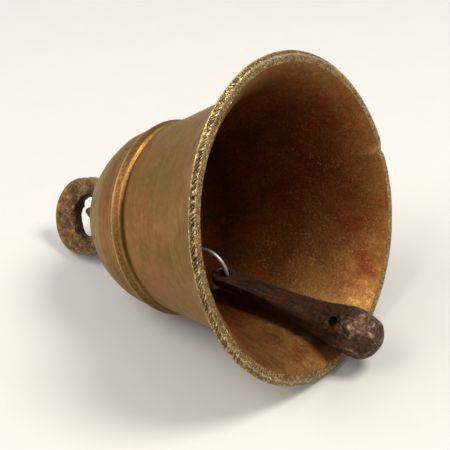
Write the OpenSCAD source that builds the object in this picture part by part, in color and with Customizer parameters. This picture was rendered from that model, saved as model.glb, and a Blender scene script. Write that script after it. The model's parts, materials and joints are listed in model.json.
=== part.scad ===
// Small cast hand bell that lies on its side: flared bronze body with a shoulder band,
// a thick cast loop on the crown, and a forged iron clapper hung from a staple by a
// drawn link and a wire ring. Millimetres, Z up, mouth towards +X, lying on z = 0.
// Inside, "s" runs along the bell's axis from the mouth back to the crown, and "h" is
// the distance below that axis.

/* [Bell] */
// Diameter across the widest circle of the mouth
mouth_d = 120; // [118:0.5:122]
// Diameter of the waist, just before the shoulder band
waist_d = 74.3; // [73:0.1:75]
// Distance from the mouth back to the waist
waist_s = 53; // [52:0.1:54]
// Diameter over the crest of the shoulder band
band_d = 76.5; // [76:0.1:78]
// Distance from the mouth to the crown's apex, outside
crown_s = 98.5; // [97:0.1:99]
// Thickness of the cast wall at the waist
wall_t = 3.3; // [3:0.1:3.4]
// Thickness of the crown, where the staple goes through
crown_t = 4; // [3.5:0.1:4.5]
// Diameter of the inner edge of the flat on the lip
lip_inner_d = 111.8; // [111:0.1:112]
// Width of the filed bevel around the lip, measured along the radius
lip_bevel = 1.5; // [1:0.1:2]

/* [Crown loop] */
// Outer diameter of the loop's round end
loop_d = 33.2; // [32:0.2:34]
// Thickness of the loop
loop_t = 8.6; // [7:0.2:9]
// Distance from the mouth to the middle of the loop's round end
loop_s = 114.4; // [113.4:0.1:115]
// Diameter of the eye
eye_d = 15.4; // [14:0.2:16]
// Distance from the mouth to the middle of the eye
eye_s = 110; // [109.4:0.1:110.4]
// Turn of the loop about the bell's axis, away from upright
loop_turn = 29; // [0:1:40]

/* [Staple and link] */
// Diameter of the staple's shank
shank_d = 4.4; // [4:0.1:4.6]
// Distance from the mouth to the tip of the shank's pointed tail
tail_s = 113.6; // [112:0.1:114]
// Distance from the mouth to the middle of the staple's eye
staple_s = 78; // [77.5:0.1:78.5]
// Thickness of the round bar that the staple's eye is bent from
staple_bar = 3.4; // [3:0.1:3.6]
// Inner diameter of the staple's eye
staple_eye_d = 6; // [5.6:0.1:6.4]
// Thickness of the link's round bar
link_bar = 2.4; // [2.2:0.1:2.5]
// Width of the link between the middles of its two legs
link_w = 8; // [7.6:0.1:8.4]
// Angle below the bell's axis at which the link lies at rest
link_lean = 43.7; // [43:0.1:44.5]

/* [Ring] */
// Diameter of the ring between the middles of its wire
ring_d = 17.8; // [17.6:0.1:18]
// Thickness of the ring's wire
ring_wire = 1.85; // [1.7:0.05:2]
// Distance from the mouth to the middle of the ring at rest
ring_s = 53.6; // [53.2:0.1:54]

/* [Clapper] */
// Diameter of the knob that strikes the lip
knob_d = 18.4; // [18:0.1:18.6]
// Width of the shaft half way along
shaft_w = 12.6; // [12:0.1:13]
// Thickness of the flattened shaft half way along
shaft_t = 7; // [6.4:0.1:7.2]
// Length from the middle of the clapper's eye to the middle of the knob
clapper_l = 59.2; // [58.8:0.1:59.6]
// Slope of the clapper below the bell's axis at rest
clapper_lean = 20.4; // [19.8:0.1:20.6]
// Length of the clapper's knob beyond its widest place
knob_nose = 11.2; // [10:0.1:12]
// Diameter of the hole through the clapper, just behind the knob
cord_hole_d = 3.9; // [3.4:0.1:4.2]
// Distance of that hole from the middle of the knob
cord_hole_back = 6.4; // [5:0.1:8]
// Angle above the horizontal at which that hole faces
cord_hole_up = 48; // [44:1:52]

/* [Hidden] */
$fn = 96;
running_gap = 0.15;                     // play between two links where they touch

// The bell's outside: a straight taper with an exponential flare at the mouth.
mouth_r = mouth_d / 2;
waist_r = waist_d / 2;
taper = 0.27;
flare_len = 7;
flare = mouth_r - waist_r - taper * waist_s;
function side_r(s) = waist_r + taper * (waist_s - s) + flare * exp(-s / flare_len);
// The inside keeps to the same taper, and its flare ends on the lip's inner edge.
lip_s = -lip_bevel;
inner_flare = (lip_inner_d / 2 - (waist_r - wall_t) - taper * (waist_s - lip_s))
              / exp(-lip_s / flare_len);
function inner_r(s) = waist_r - wall_t + taper * (waist_s - s)
                      + inner_flare * exp(-s / flare_len);

// The cap is a superellipse from the band to the apex, outside and inside.
cap_s = 61.7;
cap_r = 36.4;
cap_wall = 3.8;
cap_power = 1.6;
function cap_out(u) = [cap_r * pow(1 - pow(u, cap_power), 1 / cap_power),
                       cap_s + (crown_s - cap_s) * u];
function cap_in(u) = [(cap_r - cap_wall) * pow(1 - pow(u, cap_power), 1 / cap_power),
                      cap_s + (crown_s - crown_t - cap_s) * u];
steps = 16;
flare_steps = [for (i = [0:steps]) waist_s * pow(i / steps, 1.6)];
cap_steps = [for (i = [0:steps]) sin(90 * i / steps)];

// The band: a groove towards the mouth, a narrow strip, a quirk and the crest.
band_s = 57.4;
band_r = band_d / 2;
band_profile = [[waist_r - 0.45, waist_s + 0.6], [waist_r + 0.35, waist_s + 1.2],
                [band_r - 0.3, waist_s + 2.1], [band_r - 0.45, waist_s + 2.8],
                [band_r, band_s - 0.6], [band_r, band_s + 0.6],
                [band_r - 0.25, band_s + 2.2], [cap_r + 0.4, cap_s - 0.4]];

// The bell lies on its mouth and on the first of its band or cap to touch z = 0.
rest_points = concat([[band_r, band_s]], [for (u = cap_steps) cap_out(u)]);
tilt = min([for (p = rest_points) atan((mouth_r - p[0]) / p[1])]);
mouth_z = mouth_r * cos(tilt);

// The chain inside, each link pulled straight along the link's own line.
hang = [cos(link_lean), sin(link_lean)];
function along(p, d) = [p[0] - d * hang[0], p[1] + d * hang[1]];
staple_ring_r = (staple_eye_d + staple_bar) / 2;
link_top = along([staple_s, 0], (staple_eye_d - link_bar) / 2 - running_gap);
ring_r = ring_d / 2;
ring_h = (staple_s - ring_s) * tan(link_lean);
ring_pos = [ring_s, ring_h];
link_end = along(ring_pos, -(ring_r - (ring_wire + link_bar) / 2 - running_gap));
link_l = norm(link_end - link_top);

// The clapper's eye rides on the ring's side towards the mouth.
eye_ride = 25.3;                          // how far down that side, as an angle
clapper_eye_d = 5.6;
clapper_eye_out = 9.6;
clapper_eye_t = 4.8;
eye_slack = (clapper_eye_d - ring_wire) / 2 - running_gap;
clapper_dir = [cos(clapper_lean), sin(clapper_lean)];
clapper_eye = [ring_s - ring_r * cos(eye_ride) + eye_slack * clapper_dir[0],
               ring_h + ring_r * sin(eye_ride) - eye_slack * clapper_dir[1]];
knob_pos = [clapper_eye[0] - clapper_l * clapper_dir[0],
            clapper_eye[1] + clapper_l * clapper_dir[1]];

// Extremes along X, to put the origin in the middle of the overall length.
knob_end_r = 5;
nose_pos = [knob_pos[0] - (knob_nose - knob_end_r) * clapper_dir[0],
            knob_pos[1] + (knob_nose - knob_end_r) * clapper_dir[1]];
front_x = -nose_pos[0] * cos(tilt) + nose_pos[1] * sin(tilt) + knob_end_r;
loop_rim = loop_t / 2;
loop_core_r = loop_d / 2 - loop_rim;
back_x = -loop_s * cos(tilt) - loop_rim
         - loop_core_r * sqrt(pow(cos(tilt), 2) + pow(sin(tilt) * cos(loop_turn), 2));
mouth_x = -(front_x + back_x) / 2;

// Puts a shape drawn about the bell's axis (Z towards the crown, X up) where the bell lies.
module lying() { translate([mouth_x, 0, mouth_z]) rotate([0, -90 - tilt, 0]) children(); }

// Puts a shape at s and h inside the bell, still in the bell's own directions.
module at(p) { translate([-p[1], 0, p[0]]) children(); }

module outer_form() {
    rotate_extrude()
        polygon(concat([[0, 0], [0, lip_s], [mouth_r - lip_bevel, lip_s]],
                       [for (s = flare_steps) [side_r(s), s]],
                       band_profile,
                       [for (u = cap_steps) cap_out(u)]));
}

module inner_form() {
    rotate_extrude()
        polygon(concat([[0, 0], [0, lip_s - 1], [inner_r(lip_s), lip_s - 1],
                        [inner_r(lip_s), lip_s]],
                       [for (s = flare_steps) [inner_r(s), s]],
                       [for (u = cap_steps) cap_in(u)]));
}

module bell_body() {
    color([0.60, 0.46, 0.28]) lying() difference() {
        outer_form();
        inner_form();
        cylinder(d = shank_d + 0.1, h = crown_s + 10);
    }
}

// The loop: a round-edged disc on a foot that is cast onto the crown, pierced by the eye.
module crown_loop() {
    foot_w = loop_d - 4;
    color([0.42, 0.29, 0.18]) lying() rotate([0, 0, loop_turn]) difference() {
        union() {
            translate([0, 0, loop_s]) rotate([90, 0, 0]) rotate_extrude() {
                translate([0, -loop_rim]) square([loop_core_r, loop_t]);
                intersection() {
                    translate([loop_core_r, 0]) circle(r = loop_rim);
                    translate([0, -loop_rim]) square([loop_d, loop_t]);
                }
            }
            translate([-foot_w / 2, -loop_rim, cap_s + 20]) cube([foot_w, loop_t, loop_s - cap_s - 22]);
        }
        translate([0, 0, eye_s]) rotate([90, 0, 0]) cylinder(d = eye_d, h = loop_t + 2, center = true);
        for (side = [-1, 1]) translate([0, side * loop_rim, eye_s]) rotate([90 * side, 0, 0])
            translate([0, 0, -1.5]) cylinder(d1 = eye_d - 0.01, d2 = eye_d + 5, h = 2.5);
        outer_form();
        cylinder(d = shank_d + 0.1, h = loop_s);
    }
}

// The staple: an eye inside the bell, a shank through the crown and a pointed tail outside.
module clapper_staple() {
    neck_s = staple_s + staple_ring_r;
    point_l = 3.9;
    color([0.30, 0.22, 0.18]) lying() difference() {
        union() {
            translate([0, 0, staple_s]) rotate([90, 0, 0]) rotate_extrude()
                translate([staple_ring_r, 0]) circle(d = staple_bar, $fn = 48);
            translate([0, 0, neck_s]) cylinder(d = shank_d, h = tail_s - point_l - neck_s);
            translate([0, 0, tail_s - point_l]) cylinder(d1 = shank_d, d2 = 0.8, h = point_l);
        }
        translate([0, 0, staple_s]) rotate([90, 0, 0])
            cylinder(d = staple_eye_d, h = staple_bar + 1, center = true);
    }
}

// The iron collar that bears on the inside of the crown.
module staple_collar() {
    collar_d = 14;
    collar_t = 2;
    seat_gap = 0.03;
    seat_u = pow(1 - pow(collar_d / 2 / (cap_r - cap_wall), cap_power), 1 / cap_power);
    collar_s = cap_in(seat_u).y - seat_gap;
    color([0.28, 0.22, 0.19]) lying() difference() {
        translate([0, 0, collar_s - collar_t]) cylinder(d = collar_d, h = collar_t);
        cylinder(d = shank_d + 0.1, h = crown_s);
    }
}

// A bar bent to an oval: two half rings joined by straight legs, lying in the YZ plane.
module oval_link(bar, width, length) {
    for (end = [0, 1]) translate([0, 0, end * length]) rotate([0, 90, 0])
        rotate([0, 0, end * 180]) rotate_extrude(angle = 180, start = -90)
            translate([width / 2, 0]) circle(d = bar, $fn = 32);
    for (side = [-1, 1]) translate([0, side * width / 2, 0])
        cylinder(d = bar, h = length, $fn = 32);
}

module hanger_link() {
    color([0.33, 0.28, 0.25]) lying() at(link_top) rotate([0, 180 + link_lean, 0])
        translate([0, 0, link_w / 2]) oval_link(link_bar, link_w, link_l - link_w);
}

module clapper_ring() {
    color([0.62, 0.63, 0.65]) lying() at(ring_pos) rotate([90, 0, 0])
        rotate_extrude() translate([ring_r, 0]) circle(d = ring_wire, $fn = 32);
}

// The clapper, drawn along +Z from the middle of its eye to its knob. Its width comes from
// a turned form, and its flattened thickness from a side profile.
module clapper_width() {
    knob_r = knob_d / 2;
    knob_start = clapper_l - 6;
    rotate([0, 90, 0]) cylinder(d = clapper_eye_out, h = clapper_eye_t, center = true);
    rotate_extrude() polygon([[0, 0], [clapper_eye_out / 2 - 0.2, 0], [clapper_eye_out / 2, 6],
        [shaft_w / 2 - 1, 20], [shaft_w / 2, clapper_l / 2], [shaft_w / 2 + 1.4, clapper_l - 15],
        [knob_r - 0.7, knob_start], [knob_r - 0.1, clapper_l - 2.5], [knob_r, clapper_l],
        [knob_r - 0.3, clapper_l + 2.5], [knob_r - 1.4, clapper_l + 5.5],
        [knob_end_r, clapper_l + knob_nose - 1.2], [knob_end_r - 2.4, clapper_l + knob_nose],
        [0, clapper_l + knob_nose]]);
}

module clapper_side() {
    eye_flat = clapper_eye_t / 2;
    half = [[eye_flat, -clapper_eye_out], [eye_flat, 4], [shaft_t / 2 - 0.3, 20],
            [shaft_t / 2, clapper_l / 2], [shaft_t / 2 + 2, clapper_l - 15],
            [knob_d / 2 - 1.2, clapper_l - 6], [knob_d / 2, clapper_l - 1.5],
            [knob_d / 2, clapper_l + 2 * knob_nose]];
    rotate([90, 0, 0]) linear_extrude(2 * knob_d, center = true)
        polygon(concat(half, [for (i = [len(half) - 1:-1:0]) [-half[i][0], half[i][1]]]));
}

module clapper() {
    turn = 180 + clapper_lean;
    color([0.24, 0.17, 0.13]) lying() at(clapper_eye) rotate([0, turn, 0]) difference() {
        intersection() {
            clapper_width();
            clapper_side();
        }
        rotate([0, 90, 0]) cylinder(d = clapper_eye_d, h = shaft_w, center = true);
        translate([0, 0, clapper_l - cord_hole_back]) rotate([0, 0, -cord_hole_up]) rotate([90, 0, 0])
            cylinder(d = cord_hole_d, h = 2 * knob_d, center = true);
    }
}

bell_body();
crown_loop();
clapper_staple();
staple_collar();
hanger_link();
clapper_ring();
clapper();
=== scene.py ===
import bpy
import json
import math
import random
import numpy as np
from mathutils import Matrix, Vector, noise


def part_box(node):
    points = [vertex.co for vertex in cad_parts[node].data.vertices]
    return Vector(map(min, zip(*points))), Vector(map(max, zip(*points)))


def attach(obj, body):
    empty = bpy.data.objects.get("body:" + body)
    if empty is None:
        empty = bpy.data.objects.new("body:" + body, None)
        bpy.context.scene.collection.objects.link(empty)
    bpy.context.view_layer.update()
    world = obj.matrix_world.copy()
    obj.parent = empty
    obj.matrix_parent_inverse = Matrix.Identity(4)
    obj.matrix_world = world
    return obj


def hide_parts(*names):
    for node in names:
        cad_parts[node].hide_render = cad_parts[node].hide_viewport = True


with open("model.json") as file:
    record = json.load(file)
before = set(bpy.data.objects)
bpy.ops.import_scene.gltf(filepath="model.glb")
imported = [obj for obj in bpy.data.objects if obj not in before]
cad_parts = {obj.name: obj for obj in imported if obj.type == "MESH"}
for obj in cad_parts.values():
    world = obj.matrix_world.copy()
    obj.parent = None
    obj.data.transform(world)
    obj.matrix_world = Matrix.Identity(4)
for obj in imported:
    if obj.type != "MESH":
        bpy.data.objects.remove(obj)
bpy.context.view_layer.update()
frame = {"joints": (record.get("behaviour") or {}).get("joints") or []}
mm = 0.001

# All shape sizes below are in millimetres. "back" runs from the mouth to the crown along the
# bell's axis, "up" is square to it, and "side" is the row's +Y.
bell = {
    "mouthRadius": 60, "bevel": 1.5, "lipInner": 55.9,
    "waistRadius": 37.15, "waistBack": 53, "taper": 0.27, "flareLength": 7, "wall": 3.3,
    "capRadius": 36.4, "capBack": 61.7, "crownBack": 98.5, "capPower": 1.6,
    "capWall": 3.8, "crownThick": 4, "shankHole": 2.3,
    "rows": {"cap": 44, "band": 52, "side": 62, "bevel": 11, "flat": 12, "inner": 56, "innerCap": 30},
    "columns": 1800, "wave": 0.16, "dent": 0.05, "innerRough": 0.10,
    "nickAngle": 89.5, "nickDepth": 1.3, "nickWidth": 2.0, "rimWander": 0.35,
    # distance from the mouth, half width
    "capLine": (69.5, 0.5), "capGroove": (68.3, 0.6), "lilacBand": (5, 9),
}
bandMarks = {  # distance back from the waist, half width
    "groove": (0.35, 0.42), "foot": (1.35, 0.30), "strip": (2.9, 1.5), "crest": (4.95, 0.42),
    "under": (5.75, 0.25),
}
bandShape = [  # distance back from the waist, step out from the waist
    (0.0, -0.45), (0.4, -0.62), (0.8, -0.15), (1.15, 0.45), (1.8, 0.72), (2.7, 0.84), (3.6, 0.96),
    (4.4, 1.10), (5.0, 1.14), (5.3, 1.00), (5.55, 0.78), (6.1, 0.70), (6.9, 0.45), (7.6, -0.05),
]
lipMarks = {
    "pitch": 1.55, "depth": 0.45, "halfWidth": 0.50, "slant": 1.5, "strongAngle": -64, "strongSpread": 36,
    "ridgeAngle": -30, "ridgeSpread": 62,
}
innerStains = {  # angle round the axis, half width in degrees, distance from the mouth, half length
    "red": [(116, 16, 12, 12), (98, 9, 30, 9), (-172, 24, 8, 7), (62, 12, 10, 8), (140, 12, 5, 6)],
    # The lower wall patch is lightened with painted light.
    # gold: the patch where the painted glints are strongest, on the right wall.
    "gold": (100, 55, 14, 24), "litLowerWall": (-180, 48, 0, 30),
}

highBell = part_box("bell_body")[1]
mouthUp = highBell.z / 2
tilt = math.acos(mouthUp / (bell["mouthRadius"] * mm))
mouthAhead = highBell.x - (bell["bevel"] * math.cos(tilt)
                           + (bell["mouthRadius"] - bell["bevel"]) * math.sin(tilt)) * mm
mouthCentre = Vector((mouthAhead, 0, mouthUp))
upDir = np.array((-math.sin(tilt), 0, math.cos(tilt)))
sideDir = np.array((0, 1, 0))
backDir = np.array((-math.cos(tilt), 0, -math.sin(tilt)))


def toRow(points):  # (up, side, back) in millimetres to the row frame in metres
    p = np.asarray(points, float) * mm
    return np.array(mouthCentre) + p[:, :1] * upDir + p[:, 1:2] * sideDir + p[:, 2:] * backDir


def fromRow(point):  # the row frame in metres to (up, side, back) in millimetres
    d = (np.array(point, float) - np.array(mouthCentre)) / mm
    return np.array((d @ upDir, d @ sideDir, d @ backDir))


def rough(points, size, shift=0.0, octaves=3):  # soft noise, about -1 to 1, of bumps of that size
    move = Vector((shift, 2.7 * shift, -1.3 * shift))
    return np.array([noise.fractal(Vector(p) / size + move, 1.0, 2.0, octaves) for p in points])


def cells(points, size, shift=0.0):  # distance to the nearest of scattered points, 0 at the point
    move = Vector((shift, -shift, 0.5 * shift))
    return np.array([noise.voronoi(Vector(p) / size + move)[0][0] for p in points])


def smoothStep(x, a, b):
    t = np.clip((np.asarray(x, float) - a) / (b - a), 0, 1)
    return t * t * (3 - 2 * t)


def hump(x, at, wide, power=2):  # 1 at that place, and falls off on both sides
    return np.exp(-((x - at) / wide) ** power)


def unit(x):  # held between 0 and 1
    return np.clip(x, 0, 1)


def angleGap(angles, at):  # degrees from the angle "at", -180 to 180, for angles in radians
    return (np.degrees(angles) - at + 180) % 360 - 180


def through(stations, t):  # smooth curve through a few (place, value) stations
    x = np.array([p[0] for p in stations], float)
    y = np.array([p[1] for p in stations], float)
    slope = np.gradient(y, x)
    i = np.clip(np.searchsorted(x, t) - 1, 0, len(x) - 2)
    h = x[i + 1] - x[i]
    u = np.clip((t - x[i]) / h, 0, 1)
    return ((1 + 2 * u) * (1 - u) ** 2 * y[i] + u * (1 - u) ** 2 * h * slope[i]
            + u * u * (3 - 2 * u) * y[i + 1] + u * u * (u - 1) * h * slope[i + 1])


def gridFaces(rows, columns, closeRows=False):
    r = np.arange(rows if closeRows else rows - 1)[:, None]
    c = np.arange(columns)[None, :]
    nextRow = (r + 1) % rows
    nextColumn = (c + 1) % columns
    quads = np.stack([r * columns + c, r * columns + nextColumn,
                      nextRow * columns + nextColumn, nextRow * columns + c], -1)
    return quads.reshape(-1, 4)


def makePiece(name, rowPoints, faces, materials, body, node, faceSlots=None, masks=None):
    mesh = bpy.data.meshes.new(name)
    mesh.from_pydata([tuple(p) for p in rowPoints], [], [tuple(int(i) for i in f) for f in faces])
    mesh.polygons.foreach_set("use_smooth", [True] * len(mesh.polygons))
    if faceSlots is not None:
        mesh.polygons.foreach_set("material_index", np.asarray(faceSlots, np.int32))
    for key, values in (masks or {}).items():
        layer = mesh.attributes.new(key, "FLOAT", "POINT")
        layer.data.foreach_set("value", np.asarray(values, np.float32))
    mesh.update()
    piece = bpy.data.objects.new(name, mesh)
    bpy.context.scene.collection.objects.link(piece)
    for material in materials:
        mesh.materials.append(material)
    fixNormals(piece)
    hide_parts(node)
    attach(piece, body)
    return piece


def fixNormals(piece):
    bpy.context.view_layer.objects.active = piece
    piece.select_set(True)
    bpy.ops.object.mode_set(mode="EDIT")
    bpy.ops.mesh.select_all(action="SELECT")
    bpy.ops.mesh.normals_make_consistent(inside=False)
    bpy.ops.object.mode_set(mode="OBJECT")
    piece.select_set(False)


def addNode(tree, kind, inputs=None, **settings):
    n = tree.nodes.new(kind)
    for key, value in settings.items():
        setattr(n, key, value)
    for key, value in (inputs or {}).items():
        if isinstance(value, bpy.types.NodeSocket):
            tree.links.new(value, n.inputs[key])
        else:
            n.inputs[key].default_value = value
    return n


def mathNode(tree, operation, a, b=0.0, clamp=False):
    return addNode(tree, "ShaderNodeMath", {0: a, 1: b}, operation=operation, use_clamp=clamp).outputs[0]


def rangeNode(tree, value, low, high, outLow=0.0, outHigh=1.0):
    return addNode(tree, "ShaderNodeMapRange",
                   {"Value": value, "From Min": low, "From Max": high, "To Min": outLow, "To Max": outHigh},
                   interpolation_type="SMOOTHSTEP").outputs[0]


def mixColour(tree, factor, a, b):
    return addNode(tree, "ShaderNodeMix", {0: factor, 6: a, 7: b}, data_type="RGBA").outputs[2]


def layOver(tree, colour, mask, amount, above):  # one colour over another, as strong as the mask
    return mixColour(tree, mathNode(tree, "MULTIPLY", mask, amount), colour, above)


def newGroup(name, inputs, outputs):
    group = bpy.data.node_groups.new(name, "ShaderNodeTree")
    for key, kind, value in inputs:
        socket = group.interface.new_socket(key, in_out="INPUT", socket_type=kind)
        if value is not None:
            socket.default_value = value
    for key, kind in outputs:
        group.interface.new_socket(key, in_out="OUTPUT", socket_type=kind)
    return group, group.nodes.new("NodeGroupInput").outputs, group.nodes.new("NodeGroupOutput").inputs


# Patches of patina: soft-edged areas with finer breakup inside them.
def makePatches():
    group, i, o = newGroup("patinaPatches",
                           [("Vector", "NodeSocketVector", None), ("Size", "NodeSocketFloat", 0.01),
                            ("Spread", "NodeSocketFloat", 0.5), ("Softness", "NodeSocketFloat", 0.12)],
                           [("Mask", "NodeSocketFloat")])
    scale = mathNode(group, "DIVIDE", 1.0, i["Size"])
    big = addNode(group, "ShaderNodeTexNoise", {"Vector": i["Vector"], "Scale": scale, "Detail": 6.0,
                                               "Roughness": 0.62, "Distortion": 0.4}).outputs["Fac"]
    low = mathNode(group, "SUBTRACT", i["Spread"], i["Softness"])
    high = mathNode(group, "ADD", i["Spread"], i["Softness"])
    group.links.new(rangeNode(group, big, low, high), o["Mask"])
    return group


# Fine specks, such as casting grit and bright wear points.
def makeSpecks():
    group, i, o = newGroup("specks",
                           [("Vector", "NodeSocketVector", None), ("Size", "NodeSocketFloat", 0.0006),
                            ("Amount", "NodeSocketFloat", 0.3)],
                           [("Mask", "NodeSocketFloat")])
    scale = mathNode(group, "DIVIDE", 1.0, i["Size"])
    cell = addNode(group, "ShaderNodeTexVoronoi", {"Vector": i["Vector"], "Scale": scale}).outputs["Distance"]
    wide = mathNode(group, "MULTIPLY", scale, 0.35)
    thin = addNode(group, "ShaderNodeTexNoise",
                   {"Vector": i["Vector"], "Scale": wide, "Detail": 3.0}).outputs["Fac"]
    dot = rangeNode(group, cell, 0.32, 0.12)
    few = rangeNode(group, thin, mathNode(group, "SUBTRACT", 0.72, i["Amount"]),
                    mathNode(group, "SUBTRACT", 0.84, i["Amount"]))
    group.links.new(mathNode(group, "MULTIPLY", dot, few), o["Mask"])
    return group


# Fine lines that run round the bell or along a bar: noise squeezed across them.
def makeLines():
    group, i, o = newGroup("fineLines",
                           [("Vector", "NodeSocketVector", None), ("Squeeze", "NodeSocketVector", None),
                            ("Size", "NodeSocketFloat", 0.001)],
                           [("Mask", "NodeSocketFloat")])
    squeezed = addNode(group, "ShaderNodeVectorMath", {0: i["Vector"], 1: i["Squeeze"]},
                       operation="MULTIPLY").outputs[0]
    scale = mathNode(group, "DIVIDE", 1.0, i["Size"])
    lines = addNode(group, "ShaderNodeTexNoise", {"Vector": squeezed, "Scale": scale, "Detail": 4.0,
                                                 "Roughness": 0.7}).outputs["Fac"]
    group.links.new(lines, o["Mask"])
    return group


patinaPatches = makePatches()
specks = makeSpecks()
fineLines = makeLines()
print("effects ready")


def useGroup(tree, group, **inputs):
    n = tree.nodes.new("ShaderNodeGroup")
    n.node_tree = group
    for key, value in inputs.items():
        if isinstance(value, bpy.types.NodeSocket):
            tree.links.new(value, n.inputs[key])
        else:
            n.inputs[key].default_value = value
    return n.outputs["Mask"]


def newMaterial(name, metallic):
    material = bpy.data.materials.new(name)
    material.use_nodes = True
    tree = material.node_tree
    shader = tree.nodes["Principled BSDF"]
    shader.inputs["Metallic"].default_value = metallic
    place = addNode(tree, "ShaderNodeTexCoord").outputs["Object"]
    return material, tree, shader, place


def bellPlace(tree, place):  # coordinates about the bell's axis: X up, Y side, Z back
    turn = Matrix((upDir, sideDir, backDir)).transposed().to_euler()
    n = addNode(tree, "ShaderNodeMapping", {"Vector": place, "Location": mouthCentre, "Rotation": turn},
                vector_type="TEXTURE")
    return n.outputs[0]


def readMask(tree, key):
    return addNode(tree, "ShaderNodeAttribute", attribute_name=key).outputs["Fac"]


def addBump(tree, shader, height, strength, distance):
    n = addNode(tree, "ShaderNodeBump", {"Height": height, "Strength": strength, "Distance": distance})
    tree.links.new(n.outputs[0], shader.inputs["Normal"])


def feed(tree, shader, colour, roughness):
    tree.links.new(colour, shader.inputs["Base Color"])
    tree.links.new(roughness, shader.inputs["Roughness"])


outside = {
    "base": (0.262, 0.136, 0.033, 1), "warm": (0.290, 0.124, 0.033, 1), "olive": (0.178, 0.108, 0.024, 1),
    "pale": (0.470, 0.325, 0.135, 1), "dark": (0.066, 0.034, 0.013, 1), "lilac": (0.345, 0.182, 0.080, 1),
    "metallic": 0.90, "edgeTint": (1.0, 0.93, 0.82, 1),
}


def makeOutside():
    material, tree, shader, place = newMaterial("agedBronze", outside["metallic"])
    shader.inputs["Specular Tint"].default_value = outside["edgeTint"]
    about = bellPlace(tree, place)
    warm = useGroup(tree, patinaPatches, Vector=place, Size=0.030, Spread=0.52, Softness=0.10)
    olive = useGroup(tree, patinaPatches, Vector=about, Size=0.019, Spread=0.55, Softness=0.10)
    turned = useGroup(tree, fineLines, Vector=about, Squeeze=(0.035, 0.035, 1.6), Size=0.0020)
    brushed = useGroup(tree, fineLines, Vector=about, Squeeze=(0.07, 0.07, 1.0), Size=0.0005)
    mottle = useGroup(tree, patinaPatches, Vector=place, Size=0.0022, Spread=0.50, Softness=0.16)
    grit = useGroup(tree, specks, Vector=place, Size=0.0008, Amount=0.20)
    spots = useGroup(tree, specks, Vector=place, Size=0.0034, Amount=0.13)
    edge = readMask(tree, "wearAndSheen")
    hollowAndShading = readMask(tree, "hollowAndShading")
    tint = readMask(tree, "tint")
    band = readMask(tree, "band")
    colour = mixColour(tree, warm, outside["base"], outside["warm"])
    colour = layOver(tree, colour, tint, 0.8, outside["lilac"])
    colour = layOver(tree, colour, olive, 0.75, outside["olive"])
    colour = layOver(tree, colour, mottle, 0.26, outside["dark"])
    colour = mixColour(tree, rangeNode(tree, turned, 0.50, 0.70, 0.0, 0.15), colour, outside["pale"])
    colour = mixColour(tree, rangeNode(tree, brushed, 0.52, 0.28, 0.0, 0.24), colour, outside["dark"])
    colour = layOver(tree, colour, grit, 0.35, outside["dark"])
    colour = layOver(tree, colour, spots, 0.45, outside["dark"])
    # Pale over worn edges; on the band's crest and foot this is partly a painted highlight.
    colour = layOver(tree, colour, edge, 0.5, outside["pale"])
    # Dark over painted shade: the cap a little, the band's groove and the corner at its foot.
    colour = layOver(tree, colour, hollowAndShading, 0.85, outside["dark"])
    # The band's strip is darkened: partly its browner tone, partly painted shade over the key light's
    # reflection.
    colour = layOver(tree, colour, band, 0.62, outside["dark"])
    colour = layOver(tree, colour, edge, 0.55, outside["pale"])
    matt = mathNode(tree, "MULTIPLY", mathNode(tree, "ADD", olive, band), 0.16)
    feed(tree, shader, colour, mathNode(tree, "ADD", rangeNode(tree, brushed, 0.3, 0.7, 0.52, 0.36), matt))
    brushing = mathNode(tree, "MULTIPLY", brushed, 0.3)
    height = mathNode(tree, "ADD", brushing, mathNode(tree, "MULTIPLY", turned, 0.5))
    height = mathNode(tree, "SUBTRACT", height, mathNode(tree, "MULTIPLY", grit, 0.5))
    addBump(tree, shader, height, 0.35, 0.00025)
    return material


lip = {
    "brass": (0.335, 0.206, 0.070, 1), "bright": (0.840, 0.670, 0.380, 1), "dull": (0.172, 0.096, 0.031, 1),
    "dark": (0.040, 0.018, 0.006, 1), "metallic": 0.92,
}


def makeLip():
    material, tree, shader, place = newMaterial("filedBrass", lip["metallic"])
    dull = useGroup(tree, patinaPatches, Vector=place, Size=0.006, Spread=0.50, Softness=0.14)
    grain = useGroup(tree, patinaPatches, Vector=place, Size=0.0013, Spread=0.52, Softness=0.07)
    sparkGlints = useGroup(tree, specks, Vector=place, Size=0.0006, Amount=0.36)
    ridge = readMask(tree, "wearAndSheen")
    hollowAndShading = readMask(tree, "hollowAndShading")
    colour = layOver(tree, lip["brass"], dull, 0.8, lip["dull"])
    glintFlecks = useGroup(tree, patinaPatches, Vector=place, Size=0.0007, Spread=0.60, Softness=0.05)
    colour = layOver(tree, colour, grain, 0.58, lip["dark"])
    # Painted glints: fine bright specks laid on as colour.
    colour = layOver(tree, colour, mathNode(tree, "MAXIMUM", sparkGlints, glintFlecks), 0.62, lip["bright"])
    # The lip's bright edges: edge wear, with a painted highlight stronger on the upper side.
    colour = mixColour(tree, ridge, colour, lip["bright"])
    colour = mixColour(tree, hollowAndShading, colour, lip["dark"])
    feed(tree, shader, colour, rangeNode(tree, grain, 0.0, 1.0, 0.30, 0.48))
    addBump(tree, shader, mathNode(tree, "SUBTRACT", sparkGlints, grain), 0.8, 0.00030)
    return material


inside = {
    "base": (0.140, 0.036, 0.0038, 1), "red": (0.165, 0.020, 0.0040, 1), "olive": (0.095, 0.058, 0.0110, 1),
    "ochre": (0.330, 0.150, 0.0330, 1), "dark": (0.022, 0.006, 0.0012, 1), "tan": (0.430, 0.220, 0.0680, 1),
    "gold": (0.420, 0.235, 0.0600, 1), "metallic": 0.88, "edgeTint": (1.0, 0.88, 0.74, 1),
}


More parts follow.
